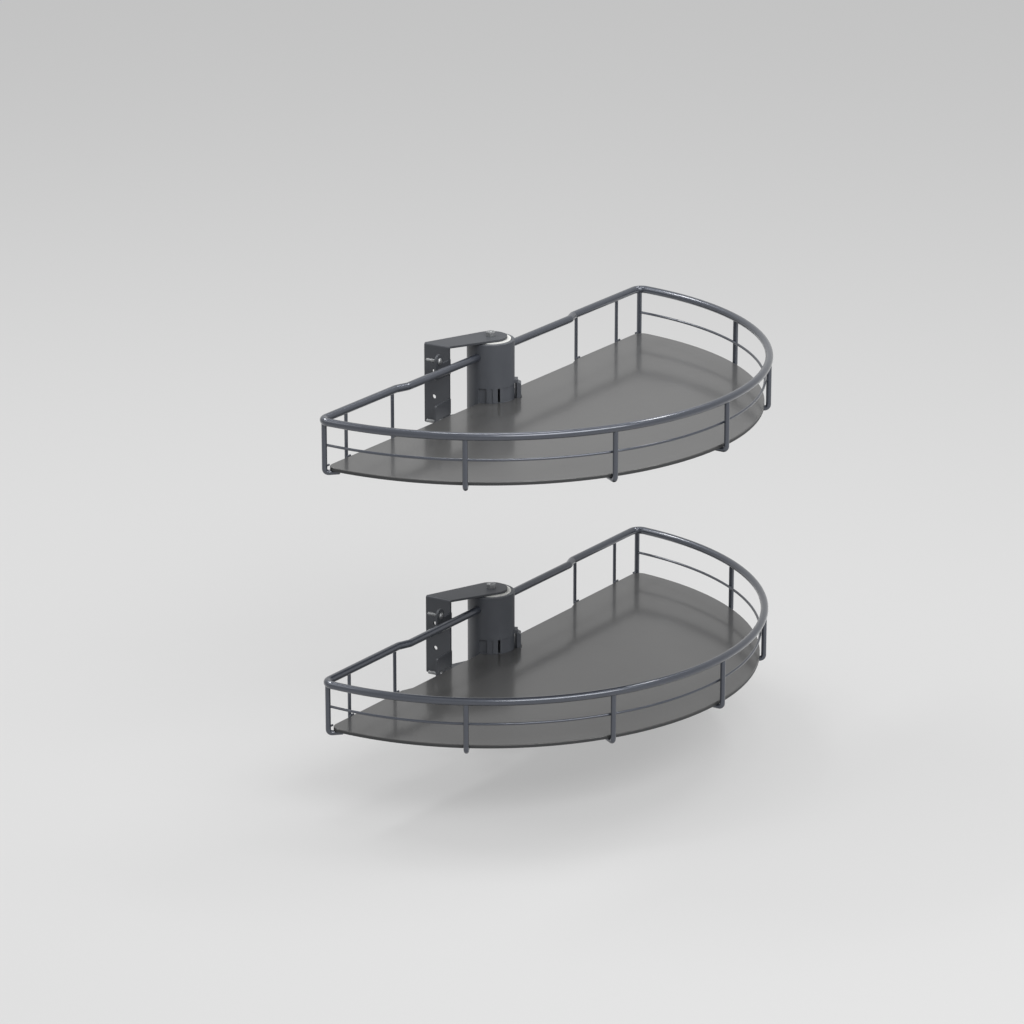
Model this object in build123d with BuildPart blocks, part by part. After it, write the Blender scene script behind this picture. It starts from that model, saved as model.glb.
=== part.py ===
"""Half-moon corner carousel: two turning half-moon trays on post brackets.

Millimetres, +Z up, +X right and +Y back. The origin is the middle of the lower
bracket's rear plate, on the face that lies against the post. Each unit has a
pressed bracket with a pivot, and a hub, tray and railing that turn on it.
The trays are drawn swung out, at their open stop.
"""
import os
from math import atan2, cos, degrees, pi, radians, sin, sqrt

from build123d import *

os.makedirs("parts", exist_ok=True)

# The units and the swing
UNIT_PITCH = 306.0
BRACKET_MIDDLE = 25.0
UNITS = (("lower", -BRACKET_MIDDLE), ("upper", UNIT_PITCH - BRACKET_MIDDLE))
PIVOT_X = 35.0
PIVOT_Y = 62.0
SWING_PAST_SQUARE = 4.4

# Clearances
RUNNING_GAP = 0.05
PRESS_GAP = 0.02
AXIAL_GAP = 0.2
HOLE_GAP = 0.2

# Bracket, heights measured from the tray's top
SHEET = 2.5
ARM_REACH_Z = 45.0
PLATE_HALF_WIDTH = 16.5
POST_SIDE_X = 15.0
ARM_END_R = 19.0
TAB_FRONT_Y = -31.0
TAB_NEAR = 15.0
TAB_FAR = 32.0
EAR_WIDTH = 15.5
EAR_TOP = 44.0
EAR_HOLE = 36.0
REAR_HOLE_X = -4.0
REAR_HOLE_RISE = 15.0
SCREW_HOLE_R = 2.6
TAB_CORNER_R = 3.0
TAB_BEND_R = 0.9
EAR_Y = TAB_FRONT_Y + EAR_WIDTH / 2
POST_SCREW_R = 2.4
POST_SCREW_LENGTH = 18.0
POST_SCREW_HEAD_R = 4.0
POST_SCREW_HEAD = 2.4

# Hub
HUB_R = 27.5
HUB_WALL = 3.5
HUB_END_GAP = 1.0
RECESS = 2.2
DECK = 3.5
BEARING_TUBE_R = 12.0
BUSH_R = 8.0
BUSH_LENGTH = 24.0
SLEEVE_R = 6.0
BOLT_R = 3.0
RIB = 2.2
HEXAGON = 10.0
BOLT_HEAD = 4.0
BOLT_END = 0.8
NUT = 5.0
SKIRT_TOP = 16.5
SKIRT_CUTS = ((76.0, 9.5, 2.2), (54.0, 3.0, 0.9), (35.4, 2.8, 4.5), (12.0, 13.0, 0.9))
FLANGE_R = 42.0
FLANGE = 4.0
FLANGE_SCREW_EDGE = 6.0
FLANGE_SCREW_ANGLES = (-62, -20, 8, 66)
CLIP_ANGLE = 34.5
CLIP_WIDTH = 12.0
CLIP_TOP = 21.5
CLIP_EAR = 4.0
CLIP_EAR_REACH = 3.7
CLIP_SHOULDER = 2.0
CLIP_ROOT = 2.0
CLIP_GAP = 0.2
CLIP_THICKNESS = 7.2
CLIP_GROOVE = 2.2
CLIP_WEB = 4.0
CLIP_TOE = 2.4
CLIP_TOE_DEPTH = 2.2
CLIP_TOE_GAP = 0.1

# Tray
TRAY = 4.0
ARC_SHIFT = -2.0
TRAY_EDGE_MIDDLE = 4.0
TRAY_CORNER_R = 12.0
TRAY_EDGE_R = 0.8
TRAY_SCREW_R = 2.0
TRAY_SCREW_HEAD_R = 3.6
TRAY_SCREW_HEAD = 2.0
TRAY_SCREW_BITE = 2.8
JOGGLE_START = 163.0
JOGGLE_END = 178.0
HUB_NOTCH_GAP = 1.0

# Support plate under the tray
SUPPORT = 2.5
SUPPORT_START = 8.0
SUPPORT_DEPTH = 110.0
SUPPORT_HALF = 72.0
SUPPORT_CORNER_R = 12.0
SUPPORT_SCREW_INSET = 14.0
SUPPORT_SLOT_LENGTH = 76.0
SUPPORT_SLOT_WIDTH = 22.0
SUPPORT_SLOT_PLACE = 75.0

# Railing
RAIL_R = 4.5
RAIL_ARC_R = 320.5
RAIL_Z = 53.0
RAIL_MIDDLE = 0.0
RAIL_END = -5.5
RAIL_CORNER_R = 12.0
RAIL_SOCKET = 14.5
JOGGLE_BEND_R = 8.0
WIRE_R = 1.5
WIRE_Z = 25.0
WIRE_ANGLE = 89.4
HOOK_R = 3.0
HOOK_BEND = 4.5
HOOK_LEG = 17.0
HOOK_STEP = 30
HOOK_SPREAD = 60
HOOK_TO_TRAY = 1.5
UPRIGHT_R = 2.0
UPRIGHT_TO_TRAY = 2.0
UPRIGHT_BEND = 4.0
UPRIGHT_LEG = 14.0
UPRIGHT_PLACES = (185.0, 272.0)
GRIP_R = 1.2
GRIP_LENGTH = 7.0
GRIP_REACH = 8.0

ARM_TOP = BRACKET_MIDDLE + ARM_REACH_Z + SHEET
ARM_BOTTOM = BRACKET_MIDDLE - ARM_REACH_Z - SHEET
HUB_HALF = ARM_REACH_Z - HUB_END_GAP
WASHER_R = HUB_R - HUB_WALL - 0.5
WASHER = HUB_END_GAP + RECESS - AXIAL_GAP
FLANGE_SCREW_R = FLANGE_R - FLANGE_SCREW_EDGE
HUB_NOTCH_R = HUB_R + HUB_NOTCH_GAP
CLIP_IN = HUB_R + CLIP_GAP
CLIP_OUT = CLIP_IN + CLIP_THICKNESS
CLIP_LEG = CLIP_IN + CLIP_GROOVE
CLIP_FOOT = -TRAY - CLIP_TOE_GAP - CLIP_TOE_DEPTH
TRAY_R = RAIL_ARC_R - HOOK_R - HOOK_TO_TRAY
TRAY_EDGE_END = RAIL_END + UPRIGHT_R + UPRIGHT_TO_TRAY
SUPPORT_SCREWS = [
    (out, way * (SUPPORT_HALF - SUPPORT_SCREW_INSET))
    for out in (SUPPORT_START + SUPPORT_SCREW_INSET, SUPPORT_START + SUPPORT_DEPTH - SUPPORT_SCREW_INSET)
    for way in (1, -1)
]
OUT = (cos(radians(SWING_PAST_SQUARE)), -sin(radians(SWING_PAST_SQUARE)), 0)
ALONG = (sin(radians(SWING_PAST_SQUARE)), cos(radians(SWING_PAST_SQUARE)), 0)


def level(height):
    """Level plane on the pivot: its x runs out to the arc, its y along the chord."""
    return Plane(origin=(PIVOT_X, PIVOT_Y, height), x_dir=OUT, z_dir=(0, 0, 1))


def upright_plane(top, out, along, angle):
    """Upright plane at a place on the tray: its x points inward at angle, its y up."""
    base = level(top)
    origin = base.from_local_coords(Vector(out, along, 0))
    inward = base.x_dir.rotate(Axis.Z, angle)
    return Plane(origin=origin, x_dir=inward, z_dir=inward.cross(Vector(0, 0, 1)))


def bend_centre(arc_r, edge, corner_r):
    """Centre of the round that joins a chord line at edge to the arc, as out and along."""
    out = edge + corner_r
    return out, sqrt((arc_r - corner_r) ** 2 - (out - ARC_SHIFT) ** 2)


def screw(seat, head_r, head, shank_r, length):
    """Pan-head cross-recess screw: its head stands on seat, its shank goes below seat."""
    with BuildPart() as body:
        with BuildSketch(seat):
            Circle(head_r)
        extrude(amount=head)
        crown = body.faces().sort_by(Axis(seat.origin, seat.z_dir))[-1]
        chamfer(crown.edges(), head * 0.35)
        with BuildSketch(seat.offset(head)):
            Rectangle(head_r * 1.1, head_r * 0.26)
            Rectangle(head_r * 0.26, head_r * 1.1)
        extrude(amount=-head * 0.6, mode=Mode.SUBTRACT)
        with BuildSketch(seat):
            Circle(shank_r)
        extrude(amount=-length)
        point = body.faces().sort_by(Axis(seat.origin, seat.z_dir))[0]
        chamfer(point.edges(), shank_r * 0.6)
    return body.part


def hooked_wire(plane, wire_r, top, seat, bend, leg):
    """Wire that drops from top, bends inward and runs a short way under the seat height."""
    foot = seat - wire_r
    with BuildPart() as wire:
        with BuildLine(plane) as path:
            Polyline((0, top), (0, foot + bend))
            RadiusArc((0, foot + bend), (bend, foot), -bend)
            Line((bend, foot), (leg, foot))
        with BuildSketch(Plane(origin=path.line @ 0, z_dir=path.line % 0)):
            Circle(wire_r)
        sweep()
        tip = wire.faces().sort_by(Axis(plane.origin, plane.x_dir))[-1]
        chamfer(tip.edges(), wire_r * 0.3)
    return wire.part


def write(part, unit, name):
    """Give the piece its label and write its file."""
    part.label = f"{unit}_{name}"
    export_step(part, f"parts/{unit}_{name}.step")


for unit, tray_top in UNITS:
    middle = tray_top + BRACKET_MIDDLE

    # Bracket: rear plate, two arms and two side tabs pressed from one sheet
    with BuildPart() as bracket:
        with BuildSketch(Plane.XY.offset(tray_top + ARM_BOTTOM)):
            with Locations((0, SHEET / 2)):
                Rectangle(2 * PLATE_HALF_WIDTH, SHEET)
        extrude(amount=ARM_TOP - ARM_BOTTOM)
        for arm_z in (ARM_BOTTOM, ARM_TOP - SHEET):
            with BuildSketch(Plane.XY.offset(tray_top + arm_z)):
                with Locations((0, SHEET / 2)):
                    Rectangle(2 * PLATE_HALF_WIDTH, SHEET)
                with Locations((PIVOT_X, PIVOT_Y)):
                    Circle(ARM_END_R)
                make_hull()
            extrude(amount=SHEET)
        bends = bracket.edges().filter_by(Axis.X).filter_by_position(Axis.Y, -0.01, 0.01)
        fillet(bends, SHEET)
        side = Plane(origin=(POST_SIDE_X, 0, middle), x_dir=(0, 1, 0), z_dir=(1, 0, 0))
        for way in (1, -1):
            with BuildSketch(side) as tab:
                with Locations(((TAB_FRONT_Y + SHEET) / 2, way * (TAB_NEAR + TAB_FAR) / 2)):
                    Rectangle(SHEET - TAB_FRONT_Y, TAB_FAR - TAB_NEAR)
                with Locations((EAR_Y, way * (TAB_FAR + EAR_TOP - EAR_WIDTH / 2) / 2)):
                    Rectangle(EAR_WIDTH, EAR_TOP - EAR_WIDTH / 2 - TAB_FAR)
                with Locations((EAR_Y, way * (EAR_TOP - EAR_WIDTH / 2))):
                    Circle(EAR_WIDTH / 2)
                near = tab.vertices().sort_by_distance((TAB_FRONT_Y, way * TAB_NEAR))[0]
                fillet(near, TAB_CORNER_R)
                with Locations((EAR_Y, way * EAR_HOLE)):
                    Circle(SCREW_HOLE_R, mode=Mode.SUBTRACT)
            extrude(amount=SHEET)
        outer = bracket.edges().filter_by(Axis.Z)
        outer = outer.filter_by_position(Axis.X, POST_SIDE_X + SHEET - 0.1, POST_SIDE_X + SHEET + 0.1)
        fillet(outer.filter_by_position(Axis.Y, SHEET - 0.1, SHEET + 0.1), TAB_BEND_R)
        with BuildSketch(Plane(origin=(0, 0, middle), x_dir=(1, 0, 0), z_dir=(0, -1, 0))):
            with Locations((REAR_HOLE_X, REAR_HOLE_RISE), (REAR_HOLE_X, -REAR_HOLE_RISE)):
                Circle(SCREW_HOLE_R)
        extrude(amount=-SHEET, mode=Mode.SUBTRACT)
        with BuildSketch(level(tray_top + ARM_BOTTOM)):
            Circle(BOLT_R + HOLE_GAP)
        extrude(amount=ARM_TOP - ARM_BOTTOM, mode=Mode.SUBTRACT)
    write(bracket.part, unit, "bracket")

    # Bracket screws: one in each tab, driven sideways into the post
    post_screws = [
        screw(
            Plane(origin=(POST_SIDE_X + SHEET, EAR_Y, middle + way * EAR_HOLE), z_dir=(1, 0, 0)),
            POST_SCREW_HEAD_R, POST_SCREW_HEAD, POST_SCREW_R, POST_SCREW_LENGTH,
        )
        for way in (1, -1)
    ]
    with BuildPart() as bracket_screws:
        add(post_screws)
    write(bracket_screws.part, unit, "bracket_screws")

    # Pivot bolt: hexagon head under the lower arm, end above the nut
    with BuildPart() as pivot_bolt:
        with BuildSketch(level(tray_top + ARM_BOTTOM)):
            RegularPolygon(HEXAGON / 2, 6, major_radius=False)
        extrude(amount=-BOLT_HEAD)
        chamfer(pivot_bolt.faces().sort_by(Axis.Z)[0].edges(), 0.5)
        with BuildSketch(level(tray_top + ARM_BOTTOM)):
            Circle(BOLT_R)
        extrude(amount=ARM_TOP - ARM_BOTTOM + NUT + BOLT_END)
        chamfer(pivot_bolt.faces().sort_by(Axis.Z)[-1].edges(), 0.6)
    write(pivot_bolt.part, unit, "pivot_bolt")

    # Pivot nut on the upper arm
    with BuildPart() as pivot_nut:
        with BuildSketch(level(tray_top + ARM_TOP)):
            RegularPolygon(HEXAGON / 2, 6, major_radius=False)
        extrude(amount=NUT)
        chamfer(pivot_nut.faces().sort_by(Axis.Z)[-1].edges(), 0.6)
        with BuildSketch(level(tray_top + ARM_TOP)):
            Circle(BOLT_R + PRESS_GAP)
        extrude(amount=NUT, mode=Mode.SUBTRACT)
    write(pivot_nut.part, unit, "pivot_nut")

    # Pivot sleeve: the steel bearing tube clamped between the arms
    with BuildPart() as pivot_sleeve:
        with BuildSketch(level(tray_top + ARM_BOTTOM + SHEET)):
            Circle(SLEEVE_R)
            Circle(BOLT_R + 0.1, mode=Mode.SUBTRACT)
        extrude(amount=2 * ARM_REACH_Z)
    write(pivot_sleeve.part, unit, "pivot_sleeve")

    # Thrust washers: one in each end of the hub
    washer_feet = {
        "top": middle + ARM_REACH_Z - AXIAL_GAP - WASHER,
        "bottom": middle - ARM_REACH_Z + AXIAL_GAP,
    }
    for place, foot in washer_feet.items():
        with BuildPart() as washer:
            with BuildSketch(level(foot)):
                Circle(WASHER_R)
                Circle(SLEEVE_R + RUNNING_GAP, mode=Mode.SUBTRACT)
            extrude(amount=WASHER)
            chamfer(washer.edges().filter_by(GeomType.CIRCLE).sort_by(SortBy.RADIUS)[-2:], 0.3)
        write(washer.part, unit, f"{place}_washer")

    # Bearing bushes pressed into the ends of the hub's bearing tube
    bush_feet = {
        "top": middle + HUB_HALF - RECESS - BUSH_LENGTH,
        "bottom": middle - HUB_HALF + RECESS,
    }
    for place, foot in bush_feet.items():
        with BuildPart() as bush:
            with BuildSketch(level(foot)):
                Circle(BUSH_R - PRESS_GAP)
                Circle(SLEEVE_R + RUNNING_GAP, mode=Mode.SUBTRACT)
            extrude(amount=BUSH_LENGTH)
        write(bush.part, unit, f"{place}_bush")

    # Hub: moulded cup with bearing tube, ribs, rail sockets, slotted skirt and flange
    with BuildPart() as hub:
        with BuildSketch(level(middle - HUB_HALF)):
            Circle(HUB_R)
            Circle(HUB_R - HUB_WALL, mode=Mode.SUBTRACT)
        extrude(amount=2 * HUB_HALF)
        rims = hub.edges().filter_by(GeomType.CIRCLE).group_by(SortBy.RADIUS)[-1]
        fillet(rims, 0.8)
        for foot in (middle - HUB_HALF + RECESS, middle + HUB_HALF - RECESS - DECK):
            with BuildSketch(level(foot)):
                Circle(HUB_R - HUB_WALL / 2)
            extrude(amount=DECK)
        with BuildSketch(level(middle - HUB_HALF + RECESS)):
            Circle(BEARING_TUBE_R)
            with PolarLocations((BEARING_TUBE_R + HUB_R - HUB_WALL) / 2, 4, 45):
                Rectangle(HUB_R - HUB_WALL - BEARING_TUBE_R + 2, RIB)
        extrude(amount=2 * (HUB_HALF - RECESS))
        for way in (1, -1):
            socket = Plane(
                origin=level(tray_top + RAIL_Z).from_local_coords((RAIL_MIDDLE, way * (HUB_R - 1), 0)),
                z_dir=Vector(ALONG) * -way,
            )
            with BuildSketch(socket):
                Circle(RAIL_R + RIB)
            extrude(amount=HUB_R - BEARING_TUBE_R)
            with BuildSketch(socket.offset(-2)):
                Circle(RAIL_R + PRESS_GAP)
            extrude(amount=HUB_R + 1 - RAIL_SOCKET, mode=Mode.SUBTRACT)
        with BuildSketch(level(middle - HUB_HALF)):
            Circle(BUSH_R)
        extrude(amount=2 * HUB_HALF, mode=Mode.SUBTRACT)
        with BuildSketch(level(tray_top)):
            for way in (1, -1):
                for angle, width, depth in SKIRT_CUTS:
                    with PolarLocations(HUB_R, 1, way * angle):
                        Rectangle(2 * depth, width)
        extrude(amount=SKIRT_TOP, mode=Mode.SUBTRACT)
        with BuildSketch(level(tray_top - TRAY - SUPPORT - FLANGE)):
            Circle(FLANGE_R)
            with Locations((TRAY_EDGE_MIDDLE + 1 - FLANGE_R, 0)):
                Rectangle(2 * FLANGE_R, 2 * FLANGE_R, mode=Mode.SUBTRACT)
            Circle(HUB_R - HUB_WALL / 2, mode=Mode.SUBTRACT)
            for angle in FLANGE_SCREW_ANGLES:
                with PolarLocations(FLANGE_SCREW_R, 1, angle):
                    Circle(TRAY_SCREW_R + HOLE_GAP, mode=Mode.SUBTRACT)
        extrude(amount=FLANGE)
        with BuildSketch(level(tray_top + CLIP_TOP - CLIP_EAR)):
            with PolarLocations(HUB_R, 1, CLIP_ANGLE):
                Rectangle(2 * CLIP_ROOT, CLIP_WIDTH + 2 * PRESS_GAP)
        extrude(amount=CLIP_EAR, mode=Mode.SUBTRACT)
    write(hub.part, unit, "hub")

    # Hub clip: spring hook that holds the tray to the hub, a web joins its leg to the hub's side
    clip_plane = level(tray_top)
    radial = clip_plane.x_dir.rotate(Axis.Z, CLIP_ANGLE)
    across = radial.cross(Vector(0, 0, 1))
    clip_side = Plane(origin=clip_plane.origin, x_dir=radial, z_dir=across)
    with BuildPart() as hub_clip:
        with BuildSketch(clip_side):
            with BuildLine():
                Polyline(
                    (HUB_R - CLIP_ROOT + PRESS_GAP, CLIP_TOP),
                    (HUB_R + CLIP_EAR_REACH, CLIP_TOP),
                    (HUB_R + CLIP_EAR_REACH, CLIP_TOP - CLIP_EAR + CLIP_SHOULDER / 2),
                    (CLIP_OUT, CLIP_TOP - CLIP_EAR - CLIP_SHOULDER / 2),
                    (CLIP_OUT, -TRAY - CLIP_TOE_GAP),
                    (CLIP_OUT + CLIP_TOE, -TRAY - CLIP_TOE_GAP),
                    (CLIP_OUT, CLIP_FOOT),
                    (CLIP_LEG, CLIP_FOOT),
                    (CLIP_LEG, CLIP_TOP - CLIP_EAR),
                    (HUB_R - CLIP_ROOT + PRESS_GAP, CLIP_TOP - CLIP_EAR),
                    close=True,
                )
            make_face()
        extrude(amount=CLIP_WIDTH / 2, both=True)
        with BuildSketch(clip_side):
            with Locations((CLIP_IN, CLIP_FOOT)):
                Rectangle(CLIP_GROOVE + 1, CLIP_TOP - CLIP_EAR - CLIP_FOOT, align=(Align.MIN, Align.MIN))
        extrude(amount=CLIP_WEB / 2, both=True)
    write(hub_clip.part, unit, "hub_clip")

    # Tray: flat half-moon shelf with a set-back middle and a notch for the hub
    with BuildPart() as tray:
        with BuildSketch(level(tray_top - TRAY)) as tray_outline:
            corner = sqrt(TRAY_R**2 - (TRAY_EDGE_END - ARC_SHIFT) ** 2)
            with BuildLine():
                Polyline(
                    (TRAY_EDGE_END, -corner),
                    (TRAY_EDGE_END, -JOGGLE_END),
                    (TRAY_EDGE_MIDDLE, -JOGGLE_START),
                    (TRAY_EDGE_MIDDLE, JOGGLE_START),
                    (TRAY_EDGE_END, JOGGLE_END),
                    (TRAY_EDGE_END, corner),
                )
                ThreePointArc((TRAY_EDGE_END, corner), (ARC_SHIFT + TRAY_R, 0), (TRAY_EDGE_END, -corner))
            make_face()
            fillet(tray_outline.vertices().group_by(Axis.Y)[0], TRAY_CORNER_R)
            fillet(tray_outline.vertices().group_by(Axis.Y)[-1], TRAY_CORNER_R)
            Circle(HUB_NOTCH_R, mode=Mode.SUBTRACT)
            with PolarLocations(CLIP_OUT / 2 + HOLE_GAP, 1, CLIP_ANGLE):
                Rectangle(CLIP_OUT, CLIP_WIDTH + 2 * HOLE_GAP, mode=Mode.SUBTRACT)
        extrude(amount=TRAY)
        fillet(tray.faces().sort_by(Axis.Z)[-1].outer_wire().edges(), TRAY_EDGE_R)
        with BuildSketch(level(tray_top - TRAY)):
            for angle in FLANGE_SCREW_ANGLES:
                with PolarLocations(FLANGE_SCREW_R, 1, angle):
                    Circle(TRAY_SCREW_R + PRESS_GAP)
            with Locations(SUPPORT_SCREWS):
                Circle(TRAY_SCREW_R + PRESS_GAP)
        extrude(amount=TRAY_SCREW_BITE, mode=Mode.SUBTRACT)
    write(tray.part, unit, "tray")

    # Support plate that spreads the load from the hub's flange under the tray
    with BuildPart() as tray_support:
        with BuildSketch(level(tray_top - TRAY - SUPPORT)):
            with Locations((SUPPORT_START + SUPPORT_DEPTH / 2, 0)):
                RectangleRounded(SUPPORT_DEPTH, 2 * SUPPORT_HALF, SUPPORT_CORNER_R)
            Circle(HUB_NOTCH_R, mode=Mode.SUBTRACT)
            with PolarLocations((CLIP_OUT + CLIP_TOE) / 2 + 1, 1, CLIP_ANGLE):
                Rectangle(CLIP_OUT + CLIP_TOE, CLIP_WIDTH + 2, mode=Mode.SUBTRACT)
            for angle in FLANGE_SCREW_ANGLES:
                with PolarLocations(FLANGE_SCREW_R, 1, angle):
                    Circle(TRAY_SCREW_R + HOLE_GAP, mode=Mode.SUBTRACT)
            with Locations(SUPPORT_SCREWS):
                Circle(TRAY_SCREW_R + HOLE_GAP, mode=Mode.SUBTRACT)
            with Locations((SUPPORT_START + SUPPORT_SLOT_PLACE, 0)):
                SlotOverall(SUPPORT_SLOT_LENGTH, SUPPORT_SLOT_WIDTH, rotation=90, mode=Mode.SUBTRACT)
        extrude(amount=SUPPORT)
    write(tray_support.part, unit, "tray_support")

    # Support screws: four up through the flange, four at the plate's corners
    under_flange = level(tray_top - TRAY - SUPPORT - FLANGE)
    under_plate = level(tray_top - TRAY - SUPPORT)
    flange_spots = [
        (FLANGE_SCREW_R * cos(radians(angle)), FLANGE_SCREW_R * sin(radians(angle)), 0)
        for angle in FLANGE_SCREW_ANGLES
    ]
    tray_screws = [
        screw(
            Plane(origin=under_flange.from_local_coords(spot), z_dir=(0, 0, -1)),
            TRAY_SCREW_HEAD_R, TRAY_SCREW_HEAD, TRAY_SCREW_R, FLANGE + SUPPORT + TRAY_SCREW_BITE,
        )
        for spot in flange_spots
    ]
    tray_screws += [
        screw(
            Plane(origin=under_plate.from_local_coords((*spot, 0)), z_dir=(0, 0, -1)),
            TRAY_SCREW_HEAD_R, TRAY_SCREW_HEAD, TRAY_SCREW_R, SUPPORT + TRAY_SCREW_BITE,
        )
        for spot in SUPPORT_SCREWS
    ]
    with BuildPart() as support_screws:
        add(tray_screws)
    write(support_screws.part, unit, "support_screws")

    # Top rail: one bent round bar from socket to socket of the hub, joggled past the post
    bend_out, bend_along = bend_centre(RAIL_ARC_R, RAIL_END, RAIL_CORNER_R)
    arc_angle = atan2(bend_along, bend_out - ARC_SHIFT)
    bend_angle = (pi + arc_angle) / 2
    arc_out = ARC_SHIFT + RAIL_ARC_R * cos(arc_angle)
    arc_along = RAIL_ARC_R * sin(arc_angle)
    post_out = bend_out + RAIL_CORNER_R * cos(bend_angle)
    post_along = bend_along + RAIL_CORNER_R * sin(bend_angle)
    with BuildPart() as top_rail:
        with BuildLine(level(tray_top + RAIL_Z)) as rail_path:
            FilletPolyline(
                (RAIL_MIDDLE, RAIL_SOCKET),
                (RAIL_MIDDLE, JOGGLE_START),
                (RAIL_END, JOGGLE_END),
                (RAIL_END, bend_along),
                radius=JOGGLE_BEND_R,
            )
            ThreePointArc((RAIL_END, bend_along), (post_out, post_along), (arc_out, arc_along))
            ThreePointArc((arc_out, arc_along), (ARC_SHIFT + RAIL_ARC_R, 0), (arc_out, -arc_along))
            ThreePointArc((arc_out, -arc_along), (post_out, -post_along), (RAIL_END, -bend_along))
            FilletPolyline(
                (RAIL_END, -bend_along),
                (RAIL_END, -JOGGLE_END),
                (RAIL_MIDDLE, -JOGGLE_START),
                (RAIL_MIDDLE, -RAIL_SOCKET),
                radius=JOGGLE_BEND_R,
            )
        with BuildSketch(Plane(origin=rail_path.line @ 0, z_dir=rail_path.line % 0)):
            Circle(RAIL_R)
        sweep()
    write(top_rail.part, unit, "top_rail")

    # Middle rail: thin wire round the arc, on the inner side of the hooks
    with BuildPart() as mid_rail:
        with BuildLine(level(tray_top + WIRE_Z)) as wire_path:
            CenterArc((ARC_SHIFT, 0), RAIL_ARC_R - HOOK_R - WIRE_R, -WIRE_ANGLE, 2 * WIRE_ANGLE)
        with BuildSketch(Plane(origin=wire_path.line @ 0, z_dir=wire_path.line % 0)):
            Circle(WIRE_R)
        sweep()
    write(mid_rail.part, unit, "mid_rail")

    # Rail hooks: corner posts and arc posts that turn in under the tray, and the corners' grips
    hook_places = [
        (ARC_SHIFT + RAIL_ARC_R * cos(radians(angle)), RAIL_ARC_R * sin(radians(angle)), angle + 180)
        for angle in range(-HOOK_SPREAD, HOOK_SPREAD + 1, HOOK_STEP)
    ]
    hook_places += [
        (post_out, way * post_along, way * degrees(bend_angle) + 180) for way in (1, -1)
    ]
    hooks = [
        hooked_wire(upright_plane(tray_top, *place), HOOK_R, RAIL_Z, -TRAY, HOOK_BEND, HOOK_LEG)
        for place in hook_places
    ]
    with BuildPart() as rail_hooks:
        add(hooks)
        for way in (1, -1):
            corner = level(tray_top).from_local_coords((post_out, way * post_along, 0))
            with BuildSketch(Plane(origin=corner, z_dir=Vector(ALONG) * -way)):
                Circle(GRIP_R)
            extrude(amount=GRIP_REACH)
        add(top_rail.part, mode=Mode.SUBTRACT)
    write(rail_hooks.part, unit, "rail_hooks")

    # Chord uprights: thin wires along the straight side, each with a grip on the tray's edge
    uprights = [
        hooked_wire(
            upright_plane(tray_top, RAIL_END, way * place, 0),
            UPRIGHT_R, RAIL_Z, -TRAY, UPRIGHT_BEND, UPRIGHT_LEG,
        )
        for place in UPRIGHT_PLACES for way in (1, -1)
    ]
    with BuildPart() as chord_uprights:
        add(uprights)
        for place in UPRIGHT_PLACES:
            for way in (1, -1):
                spot = level(tray_top).from_local_coords(
                    (TRAY_EDGE_END - GRIP_R - RUNNING_GAP, way * place - GRIP_LENGTH / 2, 0)
                )
                with BuildSketch(Plane(origin=spot, z_dir=ALONG)):
                    Circle(GRIP_R)
                extrude(amount=GRIP_LENGTH)
        add(top_rail.part, mode=Mode.SUBTRACT)
    write(chord_uprights.part, unit, "chord_uprights")
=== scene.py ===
# %% [markdown]
# # A half-moon corner carousel
#
# Two trays shaped like half-moons turn on upright pivots, one above the other.
# Each has a plastic hub, a bent rail with thin wires, and a pressed steel
# bracket. The solid model gives every piece its exact shape and place, so this
# lesson is mostly about finishes: powder coat on steel, moulded plastic, a
# glossy laminate and zinc. The screws' threads and recesses and the nuts' rounded
# corners are too fine for the solid model, so they are modelled here.

# %% Load the solid model
from math import atan2, cos, hypot, pi, radians, tan

import bpy
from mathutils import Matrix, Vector


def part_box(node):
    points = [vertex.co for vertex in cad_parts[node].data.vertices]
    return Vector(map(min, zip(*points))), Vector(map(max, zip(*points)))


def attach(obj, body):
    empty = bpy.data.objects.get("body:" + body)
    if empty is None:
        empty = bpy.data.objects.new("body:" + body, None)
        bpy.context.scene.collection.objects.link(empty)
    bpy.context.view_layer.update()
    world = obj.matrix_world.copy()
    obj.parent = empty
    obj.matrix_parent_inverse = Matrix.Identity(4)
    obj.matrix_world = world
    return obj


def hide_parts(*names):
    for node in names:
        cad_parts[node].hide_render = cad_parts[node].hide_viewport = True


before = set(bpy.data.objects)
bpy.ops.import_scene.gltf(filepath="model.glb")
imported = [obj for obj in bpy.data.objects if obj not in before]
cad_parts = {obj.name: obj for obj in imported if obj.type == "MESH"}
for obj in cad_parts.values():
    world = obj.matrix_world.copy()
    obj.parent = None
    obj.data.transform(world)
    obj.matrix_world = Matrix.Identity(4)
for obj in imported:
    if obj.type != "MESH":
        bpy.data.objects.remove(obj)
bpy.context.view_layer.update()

UNITS = ("lower", "upper")


# %% [markdown]
# ## Writing a finish as sums
#
# A finish is a small net of nodes. Placing each node by hand takes many lines,
# so two helpers carry the work. `Signal` is the output of a node, and sums on
# it add Math nodes: `grain * 0.2 + 0.4` reads like what it means. `Finish` is
# one material or world, and its `node` method adds any node with its settings
# first and its inputs after them, because some settings change the inputs.

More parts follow.
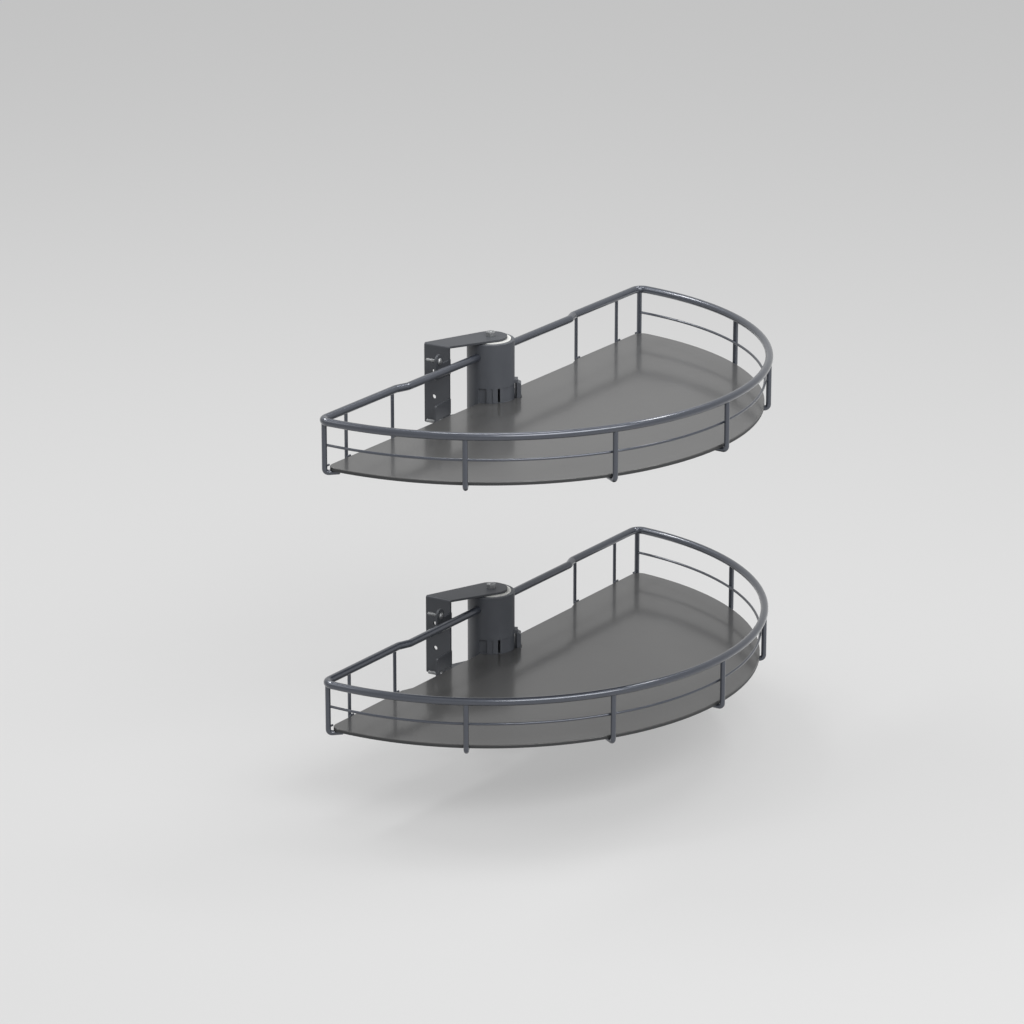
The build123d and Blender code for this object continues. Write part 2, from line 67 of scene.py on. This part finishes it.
# %% Signals
class Signal:
    """The output of a node, which can be used in sums."""

    def __init__(self, finish, socket):
        self.finish = finish
        self.socket = socket

    def sum_with(self, operation, first, second):
        return self.finish.node("ShaderNodeMath", {"operation": operation}, {0: first, 1: second})

    def highest(self, other):
        return self.sum_with("MAXIMUM", self, other)

    def __add__(self, other):
        return self.sum_with("ADD", self, other)

    def __sub__(self, other):
        return self.sum_with("SUBTRACT", self, other)

    def __rsub__(self, other):
        return self.sum_with("SUBTRACT", other, self)

    def __mul__(self, other):
        return self.sum_with("MULTIPLY", self, other)

    def above(self, limit):
        return self.sum_with("GREATER_THAN", self, limit)

    __radd__ = __add__
    __rmul__ = __mul__


# %% Finishes
ROUNDING_SAMPLES = 6


class Finish:
    """One material or world with an empty node tree and the means to fill it."""

    def __init__(self, name, kind="materials"):
        self.owner = getattr(bpy.data, kind).new(name)
        self.owner.use_nodes = True
        self.tree = self.owner.node_tree
        self.tree.nodes.clear()

    @property
    def place(self):
        return self.node("ShaderNodeTexCoord", output="Object")

    def node(self, kind, settings=None, inputs=None, output=0):
        made = self.tree.nodes.new(kind)
        for name, value in (settings or {}).items():
            setattr(made, name, value)
        for name, value in (inputs or {}).items():
            if isinstance(value, Signal):
                self.tree.links.new(value.socket, made.inputs[name])
            else:
                made.inputs[name].default_value = value
        return Signal(self, made.outputs[output]) if made.outputs else None

    def grain(self, size, detail=2.0):
        """Noise from 0 to 1 whose spots are about size metres across."""
        return self.node(
            "ShaderNodeTexNoise",
            inputs={"Vector": self.place, "Scale": 1 / size, "Detail": detail},
        )

    def mix(self, mask, first, second):
        """A colour between two colours."""
        return self.node(
            "ShaderNodeMix", {"data_type": "RGBA"}, {0: mask, 6: first, 7: second}, output=2
        )

    def bump(self, height, depth, rounding=0.0):
        """A surface normal from a height signal. Depth and edge rounding are in metres."""
        inputs = {"Height": height, "Distance": depth}
        if rounding:
            inputs["Normal"] = self.node(
                "ShaderNodeBevel", {"samples": ROUNDING_SAMPLES}, {"Radius": rounding}
            )
        return self.node("ShaderNodeBump", inputs=inputs)

    def seen(self):
        """1 for what the camera sees, directly, mirrored or through glass, else 0."""
        camera, mirrored, through = (
            self.node("ShaderNodeLightPath", output=f"Is {ray} Ray")
            for ray in ("Camera", "Glossy", "Transmission")
        )
        return camera.highest(mirrored).highest(through)

    def end(self, shader, kind="ShaderNodeOutputMaterial"):
        """Ends the net in its output and gives the material or world back."""
        self.node(kind, inputs={"Surface": shader})
        return self.owner

    def surface(self, **inputs):
        """Ends the net in the main shader, whose inputs are given by name."""
        named = {name.replace("_", " "): value for name, value in inputs.items()}
        shader = self.node("ShaderNodeBsdfPrincipled", inputs=named)
        print(self.owner.name, "has", len(self.tree.nodes), "nodes")
        return self.end(shader)


def shade(red, green, blue):
    """A colour as a screen shows it, 0 to 255, as the linear value that a shader takes."""
    return tuple(
        (level / 255 / 12.92 if level < 10.4 else ((level / 255 + 0.055) / 1.055) ** 2.4)
        for level in (red, green, blue)
    ) + (1.0,)


# %% [markdown]
# ## Powder coat on the rails
#
# The rails and wires are steel with a blue-grey semi-gloss coat. Seen close, the
# coat is dark paint with fine metal flakes under a clear skin: the paint stays
# dark, and the skin carries a narrow bright highlight along each bar. So the
# base is rather rough, and a clear coat with low roughness lies over it. Orange
# peel, the gentle waviness that powder leaves when it flows out, is a low bump
# a millimetre or two across that breaks the highlight a little.

# %% Rail coat
coat = Finish("rail_coat")
flakes = coat.grain(0.00035, 1.0)
tone = coat.grain(0.04, 2.0)
RAIL_COAT = coat.surface(
    Base_Color=coat.mix(flakes * 0.7 + tone * 0.3, shade(66, 70, 79), shade(88, 93, 104)),
    Metallic=flakes * 0.3 + 0.35,
    Roughness=flakes * 0.1 + 0.25,
    Coat_Weight=0.9,
    Coat_Roughness=0.1,
    Normal=coat.bump(coat.grain(0.0016), 0.000015, rounding=0.0003),
)

# %% [markdown]
# ## Powder coat on the bracket
#
# The bracket and the plate under the tray are flat sheet with a duller coat. It
# has less metal in it, so it is a plain satin grey, with a broad and very faint
# change of tone that keeps the flat arm from looking like cut paper. Sheet that
# was punched and bent has no knife-sharp edges: the Bevel node turns the normals
# near each edge, as a radius of half a millimetre does, and the mesh stays as it
# is.

# %% Bracket coat
coat = Finish("bracket_coat")
flakes = coat.grain(0.00045, 1.0)
tone = coat.grain(0.03)
BRACKET_COAT = coat.surface(
    Base_Color=coat.mix(tone * 0.5 + flakes * 0.5, shade(66, 68, 73), shade(84, 87, 92)),
    Metallic=0.2,
    Roughness=flakes * 0.12 + 0.36,
    Normal=coat.bump(coat.grain(0.0018), 0.00004, rounding=0.0005),
)

# %% [markdown]
# ## Moulded plastic on the hub
#
# The hub comes out of a mould whose walls were spark-eroded, which leaves a
# fine even grain. Plastic has no metal in it, so its highlights are white and
# broad. The grain is a bump well under a millimetre, and the roughness moves
# with it, because the peaks of the grain get polished by handling. A mould's
# edges are rounded, so the slots in the skirt catch a thin line of light.

# %% Hub plastic
moulded = Finish("hub_plastic")
erosion = moulded.grain(0.0006, 3.0)
HUB_PLASTIC = moulded.surface(
    Base_Color=moulded.mix(moulded.grain(0.02), shade(82, 85, 91), shade(92, 95, 101)),
    Roughness=erosion * 0.12 + 0.36,
    Normal=moulded.bump(erosion, 0.00005, rounding=0.0006),
)

# %% [markdown]
# ## Laminate on the tray
#
# The tray's face is a plain grey laminate with a polished lacquer, and it
# mirrors the hub and the wires. A mirror that is a little soft comes from a
# clear coat with low roughness over a dull base. The laminate also has a faint
# cloudiness. Its edge below the rounded rim is dull, and its grey is painted
# darker than the face's: painted shade, for the dark line of shadow under the rim.
# Each tray's edge is told from its face by height.

# %% Tray laminate
LACQUERED_RIM = 0.0009


def tray_laminate(unit):
    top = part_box(f"{unit}_tray")[1].z
    laminate = Finish(f"{unit}_tray_laminate")
    height = laminate.node("ShaderNodeSeparateXYZ", inputs={0: laminate.place}, output=2)
    face = height.above(top - LACQUERED_RIM)
    cloud = laminate.grain(0.05, 3.0)
    fleck = laminate.grain(0.0005, 2.0)
    face_colour = laminate.mix(cloud * 0.7 + fleck * 0.3, shade(70, 70, 70), shade(79, 79, 78))
    return laminate.surface(
        # The edge's grey, darker than the face's, is painted shade under the rim.
        Base_Color=laminate.mix(face, shade(62, 63, 64), face_colour),
        Roughness=fleck * 0.06 + (0.5 - face * 0.14),
        Coat_Weight=face * 0.85,
        Coat_Roughness=0.13,
        Normal=laminate.bump(laminate.grain(0.012), 0.00004),
    )


LAMINATES = {unit: tray_laminate(unit) for unit in UNITS}

# %% [markdown]
# ## Nylon and zinc
#
# The washers and bushes are natural nylon, a milky white that lets a little
# light in. The nut, bolt and screws are zinc plated: a pale metal whose plating
# is uneven, so its roughness wanders and its colour has a trace of blue. New
# zinc is dull rather than chrome-bright, so its roughness stays high.

# %% Nylon and zinc
nylon = Finish("nylon")
NYLON = nylon.surface(
    Base_Color=nylon.mix(nylon.grain(0.004), shade(226, 226, 222), shade(238, 238, 235)),
    Roughness=nylon.grain(0.0008) * 0.1 + 0.38,
    Subsurface_Weight=0.15,
    Subsurface_Radius=(0.002, 0.002, 0.002),
    Normal=nylon.bump(nylon.grain(0.0007), 0.00002, rounding=0.0002),
)
zinc = Finish("zinc_plate")
patch = zinc.grain(0.0022, 3.0)
ZINC = zinc.surface(
    Base_Color=zinc.mix(patch, shade(150, 152, 155), shade(176, 177, 177)),
    Metallic=0.9,
    Roughness=patch * 0.16 + 0.36,
    Normal=zinc.bump(zinc.grain(0.0005), 0.00001, rounding=0.0002),
)

# %% [markdown]
# ## Dressing the pieces
#
# Most pieces of the solid model keep their shape and get the finish of their
# material. The loop goes by the names of the pieces, so both units are dressed
# the same way. The screws and nuts get a dress too, although finer shapes stand
# in for them below.

# %% Give each piece its finish
WEARS = {
    "bracket": BRACKET_COAT,
    "bracket_screws": ZINC,
    "pivot_bolt": ZINC,
    "pivot_nut": ZINC,
    "pivot_sleeve": ZINC,
    "top_washer": NYLON,
    "bottom_washer": NYLON,
    "top_bush": NYLON,
    "bottom_bush": NYLON,
    "hub": HUB_PLASTIC,
    "hub_clip": HUB_PLASTIC,
    "tray_support": BRACKET_COAT,
    "support_screws": ZINC,
    "top_rail": RAIL_COAT,
    "mid_rail": RAIL_COAT,
    "rail_hooks": RAIL_COAT,
    "chord_uprights": RAIL_COAT,
}


def dress(piece, material):
    """Puts one material on every slot of a piece."""
    if not piece.material_slots:
        piece.data.materials.append(material)
    for place in piece.material_slots:
        place.material = material


for unit in UNITS:
    for name, material in WEARS.items():
        dress(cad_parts[f"{unit}_{name}"], material)
    dress(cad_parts[f"{unit}_tray"], LAMINATES[unit])
print("finishes:", len(bpy.data.materials))

# %% [markdown]
# ## Turned pieces
#
# Screws are turned pieces: an outline goes round an axis. The outline is drawn as
# a chain of points, each one extruded from the last, with x as the radius and z
# as the height. The Screw modifier with no rise then sweeps it round Z, and its
# merge closes the seam and the two ends on the axis.

# %% Turning an outline
TURNS = 40


def turned(name, outline, fine_edge=None, cuts=0):
    """A closed shape from (radius, height) points. One edge may be cut finer."""
    radius, height = outline[0]
    bpy.ops.object.select_all(action="DESELECT")
    bpy.ops.mesh.primitive_plane_add(size=0.001, location=(radius, 0, height))
    piece = bpy.context.object
    piece.name = name
    bpy.ops.object.mode_set(mode="EDIT")
    bpy.ops.mesh.select_mode(type="VERT")
    bpy.ops.mesh.merge(type="CENTER")
    for here, there in zip(outline, outline[1:]):
        step = (there[0] - here[0], 0, there[1] - here[1])
        bpy.ops.mesh.extrude_vertices_move(TRANSFORM_OT_translate={"value": step})
    bpy.ops.mesh.select_all(action="DESELECT")
    bpy.ops.object.mode_set(mode="OBJECT")
    bpy.ops.object.transform_apply(location=True, rotation=True, scale=True)
    if cuts:
        piece.data.edges[fine_edge].select = True
        bpy.ops.object.mode_set(mode="EDIT")
        bpy.ops.mesh.select_mode(type="EDGE")
        bpy.ops.mesh.subdivide(number_cuts=cuts)
        bpy.ops.object.mode_set(mode="OBJECT")
    lathe = piece.modifiers.new("lathe", "SCREW")
    lathe.steps = lathe.render_steps = TURNS
    lathe.use_merge_vertices = True
    lathe.merge_threshold = 0.000001
    bpy.ops.object.modifier_apply(modifier=lathe.name)
    bpy.ops.object.mode_set(mode="EDIT")
    bpy.ops.mesh.select_all(action="SELECT")
    bpy.ops.mesh.remove_doubles(threshold=0.000001)
    bpy.ops.mesh.normals_make_consistent(inside=False)
    bpy.ops.object.mode_set(mode="OBJECT")
    return piece


def cut_with(piece, tool, operation="DIFFERENCE"):
    """Cuts piece with tool, or keeps what they share, and throws the tool away."""
    cut = piece.modifiers.new("cut", "BOOLEAN")
    cut.operation = operation
    cut.solver = "EXACT"
    cut.object = tool
    bpy.context.view_layer.objects.active = piece
    bpy.ops.object.modifier_apply(modifier=cut.name)
    bpy.data.objects.remove(tool)


def seat(piece, place, tilt=(0, 0, 0)):
    """Puts a piece that was made at the origin in its place, within its mesh."""
    bpy.ops.object.select_all(action="DESELECT")
    piece.select_set(True)
    bpy.context.view_layer.objects.active = piece
    piece.location = place
    piece.rotation_euler = tilt
    bpy.ops.object.transform_apply(location=True, rotation=True, scale=True)


# %% [markdown]
# ## Screw heads
#
# All the screws here have pan heads with a cross recess. The head's outline is
# the same shape at each size, and the recess is cut by two crossed blades whose
# lower ends are drawn in, as the driver's tip is. The blades' sizes are shares of
# the head's radius and height, so the recess grows with the head.

# %% Heads and recesses
BLADE_LENGTH = 1.1
BLADE_WIDTH = 0.26
BLADE_MIDDLE = 0.8
BLADE_DRAWN_IN = 0.55
SMOOTH_ANGLE = radians(30)


def pan_head(radius, height):
    """The outline of a pan head that sits on z = 0."""
    points = ((0, 1), (0.45, 0.97), (0.76, 0.82), (0.94, 0.52), (1, 0.15), (0.98, 0))
    return tuple((radius * out, height * up) for out, up in points)


def cut_cross(screw, radius, height):
    """Cuts the recess into a head of this radius and height."""
    for turn in (0, 90):
        bpy.ops.object.select_all(action="DESELECT")
        bpy.ops.mesh.primitive_cube_add(size=1, location=(0, 0, height * BLADE_MIDDLE))
        blade = bpy.context.object
        blade.scale = (radius * BLADE_LENGTH, radius * BLADE_WIDTH, height)
        blade.rotation_euler.z = radians(turn)
        bpy.ops.object.transform_apply(location=True, rotation=True, scale=True)
        bpy.ops.object.mode_set(mode="EDIT")
        bpy.ops.mesh.select_mode(type="VERT")
        bpy.ops.mesh.select_all(action="DESELECT")
        bpy.ops.object.mode_set(mode="OBJECT")
        for vertex in blade.data.vertices:
            vertex.select = vertex.co.z < height * BLADE_MIDDLE
        bpy.ops.object.mode_set(mode="EDIT")
        shrink = (BLADE_DRAWN_IN, BLADE_DRAWN_IN, 1)
        bpy.ops.transform.resize(value=shrink, center_override=(0, 0, 0))
        bpy.ops.object.mode_set(mode="OBJECT")
        cut_with(screw, blade)


def fit(pieces, name, body, node):
    """Joins finished pieces into one that replaces a node of the solid model."""
    bpy.ops.object.select_all(action="DESELECT")
    for piece in pieces:
        piece.select_set(True)
    bpy.context.view_layer.objects.active = pieces[0]
    if len(pieces) > 1:
        bpy.ops.object.join()
    pieces[0].name = name
    bpy.ops.object.shade_smooth_by_angle(angle=SMOOTH_ANGLE)
    dress(pieces[0], ZINC)
    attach(pieces[0], body)
    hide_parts(node)
    print(name, len(pieces[0].data.polygons), "faces")


# %% [markdown]
# ## Screws in the brackets' tabs
#
# Each tab takes a wood screw. Nothing stands behind the tabs here, so the shanks
# show and get real threads. The shank is cut into fine rings before it is turned.
# Every point of the shank then moves in or out by its height and its angle
# together, which winds the ridge round the core, and the ridge fades out at the
# neck and at the point. The head's width and the shank's length are measured on
# the solid model.

# %% Sizes of the tab screws
HEAD = 0.0024
THREAD_PITCH = 0.0018
CORE = 0.7
RIDGE_HALF_WIDTH = 0.24
PLAIN_NECK = 0.0012
NECK_FADE = 0.001
POINT_FADE = 0.0015
POINT_START = 0.9
SHANK_EDGE = 6
RINGS = 110
UNDER_HEAD = -0.00001
screw_low, screw_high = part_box("lower_bracket_screws")
HEAD_R = (screw_high.y - screw_low.y) / 2
SHANK_R = HEAD_R * 0.6
SHANK = screw_high.x - screw_low.x - HEAD
print("screw head and shank, mm:", round(HEAD_R * 2000, 2), round(SHANK * 1000, 2))


# %% One threaded screw
def wound(point, angle):
    """How far out the thread stands at a height and an angle, from 0 to 1."""
    phase = (point / THREAD_PITCH - angle / (2 * pi)) % 1.0
    ridge = max(0.0, 1 - abs(phase - 0.5) / RIDGE_HALF_WIDTH)
    neck = min(1.0, max(0.0, (-point - PLAIN_NECK) / NECK_FADE))
    tip = min(1.0, max(0.0, (point + SHANK) / POINT_FADE))
    return ridge * neck * tip


def wood_screw(name):
    """Head above z = 0, shank below it, made at the origin."""
    core = SHANK_R * CORE
    shank = ((core, 0), (core, -SHANK * POINT_START), (0, -SHANK))
    screw = turned(name, pan_head(HEAD_R, HEAD) + shank, SHANK_EDGE, RINGS)
    for vertex in screw.data.vertices:
        x, y, z = vertex.co
        radius = hypot(x, y)
        if z > UNDER_HEAD or radius < core * POINT_START:
            continue
        grown = SHANK_R * (CORE + (1 - CORE) * wound(z, atan2(y, x)))
        vertex.co.x = x * grown / radius
        vertex.co.y = y * grown / radius
    cut_cross(screw, HEAD_R, HEAD)
    return screw


# %% Two screws in each bracket, each stopped at its own angle
FIRST_STOP = 25
NEXT_STOP = 50
for unit in UNITS:
    low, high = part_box(f"{unit}_bracket_screws")
    pair = []
    for height in (high.z - HEAD_R, low.z + HEAD_R):
        screw = wood_screw(f"{unit}_tab_screw_{len(pair)}")
        seat(screw, (0, 0, 0), (0, 0, radians(FIRST_STOP + NEXT_STOP * len(pair))))
        seat(screw, (high.x - HEAD, (low.y + high.y) / 2, height), (0, radians(90), 0))
        pair.append(screw)
    fit(pair, f"{unit}_tab_screws", "brackets", f"{unit}_bracket_screws")

# %% [markdown]
# ## Screws under the trays
#
# Eight screws hold each tray from below. Only their heads show, so the shanks
# stay plain. Their places are read off the solid model: its points are sorted
# into heaps that stand more than a head apart, one heap for each screw.

# %% Eight screws under each tray
SMALL_HEAD = 0.002
SMALL_SHANK_R = 0.002
SMALL_STOP = 40
HEAP_REACH = 0.008


def corner(points, pick):
    """The lowest or highest corner of the points, where pick is min or max."""
    return Vector([pick(point[axis] for point in points) for axis in range(3)])


def heaps(node):
    """The lowest and highest corner of each heap of points in a node."""
    found = []
    for vertex in node.data.vertices:
        near = [heap for heap in found if (heap[0] - vertex.co).xy.length < HEAP_REACH]
        if near:
            near[0].append(vertex.co.copy())
        else:
            found.append([vertex.co.copy()])
    return [(corner(heap, min), corner(heap, max)) for heap in found]


for unit in UNITS:
    screws = []
    for low, high in heaps(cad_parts[f"{unit}_support_screws"]):
        head_r = (high.x - low.x) / 2
        depth = low.z + SMALL_HEAD - high.z
        shank = ((SMALL_SHANK_R, 0), (SMALL_SHANK_R, depth), (0, depth))
        screw = turned(f"{unit}_small_screw_{len(screws)}", pan_head(head_r, SMALL_HEAD) + shank)
        cut_cross(screw, head_r, SMALL_HEAD)
        place = ((low.x + high.x) / 2, (low.y + high.y) / 2, low.z + SMALL_HEAD)
        seat(screw, place, (pi, 0, radians(SMALL_STOP * len(screws))))
        screws.append(screw)
    fit(screws, f"{unit}_small_screws", f"{unit}_carousel", f"{unit}_support_screws")

# %% [markdown]
# ## Nuts on the pivots
#
# A hexagon nut is a six-sided bar whose corners are turned off to a cone, which
# gives each face its curved top edge. So a six-sided cylinder keeps only what
# it shares with a turned cone. The cone's rim lies as far below the top as a slope
# of 30 degrees falls from the top ring to the corners, and a quarter more. It
# stands outside the corners, so the cone itself is flatter, about 24 degrees. The
# hole is cut last, a hair wider than the bolt.

# %% Nuts
NUT_TURN = -4.4
HALF_SIDE = 30
CORNER_SLOPE = 30
RIM_DROP = 1.25
RIM_OUT = 1.1
TOP_RING = 0.96
BOLT_HOLE_R = 0.00302
SPARE = 0.001
for unit in UNITS:
    low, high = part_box(f"{unit}_pivot_nut")
    tall = high.z - low.z
    corner_r = (high.x - low.x) / 2 / cos(radians(NUT_TURN))
    below, above, wide = -SPARE, tall + SPARE, corner_r * RIM_OUT
    ring_r = corner_r * cos(radians(HALF_SIDE)) * TOP_RING
    rim = tall - (corner_r - ring_r) * tan(radians(CORNER_SLOPE)) * RIM_DROP
    bpy.ops.object.select_all(action="DESELECT")
    bpy.ops.mesh.primitive_cylinder_add(
        vertices=6, radius=corner_r, depth=tall, location=(0, 0, tall / 2)
    )
    nut = bpy.context.object
    bpy.ops.object.transform_apply(location=True, rotation=True, scale=True)
    cone = ((0, below), (wide, below), (wide, rim), (ring_r, tall), (0, tall))
    cut_with(nut, turned("corner_cone", cone), "INTERSECT")
    bore = ((0, below), (BOLT_HOLE_R, below), (BOLT_HOLE_R, above), (0, above))
    cut_with(nut, turned("bore", bore))
    place = ((low.x + high.x) / 2, (low.y + high.y) / 2, low.z)
    seat(nut, place, (0, 0, radians(HALF_SIDE + NUT_TURN)))
    fit([nut], f"{unit}_hexagon_nut", "brackets", f"{unit}_pivot_nut")

# %% [markdown]
# ## Floor
#
# The carousel hangs on its brackets, so the floor lies a hand's width under it and
# only catches a soft shadow. What the camera and the reflections see of it is
# pale, and partly glows by itself, so that it doesn't fall off into the dark at
# the back. The light that it throws up on the object is that of a grey floor.

# %% Floor
FLOOR_HEIGHT = -0.13
FLOOR_SIZE = 60
FLOOR_GLOW = 0.6
bpy.ops.object.select_all(action="DESELECT")
bpy.ops.mesh.primitive_plane_add(size=FLOOR_SIZE, location=(0, 0, FLOOR_HEIGHT))
floor = bpy.context.object
floor.name = "studio_floor"
paper = Finish("studio_paper")
pale = paper.node("ShaderNodeBsdfDiffuse", inputs={"Color": shade(228, 228, 228)})
grey = paper.node("ShaderNodeBsdfDiffuse", inputs={"Color": shade(120, 120, 120)})
even = paper.node("ShaderNodeEmission", inputs={"Color": shade(214, 214, 214)})
seen = paper.seen()
lit = paper.node("ShaderNodeMixShader", inputs={0: seen, 1: grey, 2: pale})
glowing = paper.node("ShaderNodeMixShader", inputs={0: seen * FLOOR_GLOW, 1: lit, 2: even})
dress(floor, paper.end(glowing))
print("floor at", FLOOR_HEIGHT)

# %% [markdown]
# ## Light
#
# Soft studio light. Long lamps stand in a row above and behind, and each draws a
# narrow highlight along the bars that run square to it: the one overhead along
# the front of the arc, the left one along its far end, the right one on the bend
# beside the bracket. A broad lamp on the right lights the hubs, a weaker one on the
# left softens their dark side, and an even world fills the shadows. The broad lamps
# stand high enough that a low view from the far side doesn't meet them, white, in
# the glossy trays. What the camera and the reflections see of the world is paler
# than what lights the object, so that laminate and metal have something to mirror.

# %% World
SKY_LIGHT = 0.36
SKY_SEEN_EXTRA = 0.2
sky = Finish("studio", "worlds")
glow = sky.node(
    "ShaderNodeBackground",
    inputs={"Color": (1, 1, 1, 1), "Strength": sky.seen() * SKY_SEEN_EXTRA + SKY_LIGHT},
)
bpy.context.scene.world = sky.end(glow, "ShaderNodeOutputWorld")
print("world light:", SKY_LIGHT)


# %% Lamps
def soft_lamp(name, place, width, height, power, target=(0.1, 0.06, 0.2)):
    """A flat lamp at place that points at target."""
    bpy.ops.object.light_add(type="AREA", location=place)
    lamp = bpy.context.object
    lamp.name = name
    lamp.data.shape = "RECTANGLE"
    lamp.data.size = width
    lamp.data.size_y = height
    lamp.data.energy = power
    lamp.rotation_mode = "QUATERNION"
    lamp.rotation_quaternion = (Vector(target) - Vector(place)).to_track_quat("-Z", "Y")
    print(name, power, "W")


soft_lamp("top_lamp", (-0.07, 0.35, 2.98), 1.2, 0.3, 18)
soft_lamp("back_left_lamp", (-1.79, 0.26, 2.24), 1.2, 0.3, 17)
soft_lamp("back_right_lamp", (0.77, 1.42, 2.55), 1.0, 0.3, 13)
soft_lamp("front_left_lamp", (-1.9, -1.6, 2.2), 1.6, 1.6, 10)
soft_lamp("front_right_lamp", (2.1, -1.05, 2.05), 2.4, 1.2, 50)

# %% [markdown]
# ## Camera
#
# The camera stands far back with a long lens and looks slightly down, as for a
# catalogue picture. Far back, parallel edges stay nearly parallel.

# %% Camera
CAMERA_PLACE = (2.508, -4.1716, 1.799)
CAMERA_AZIMUTH = 30.006
CAMERA_ELEVATION = 18.69
CAMERA_LENS = 156.93
bpy.ops.object.camera_add(
    location=CAMERA_PLACE,
    rotation=(radians(90 - CAMERA_ELEVATION), 0, radians(CAMERA_AZIMUTH)),
)
camera = bpy.context.object
camera.data.lens = CAMERA_LENS
camera.data.sensor_width = 36
camera.data.clip_end = 60
bpy.context.scene.camera = camera
bpy.context.scene.view_settings.view_transform = "Standard"
print("camera at", CAMERA_PLACE)
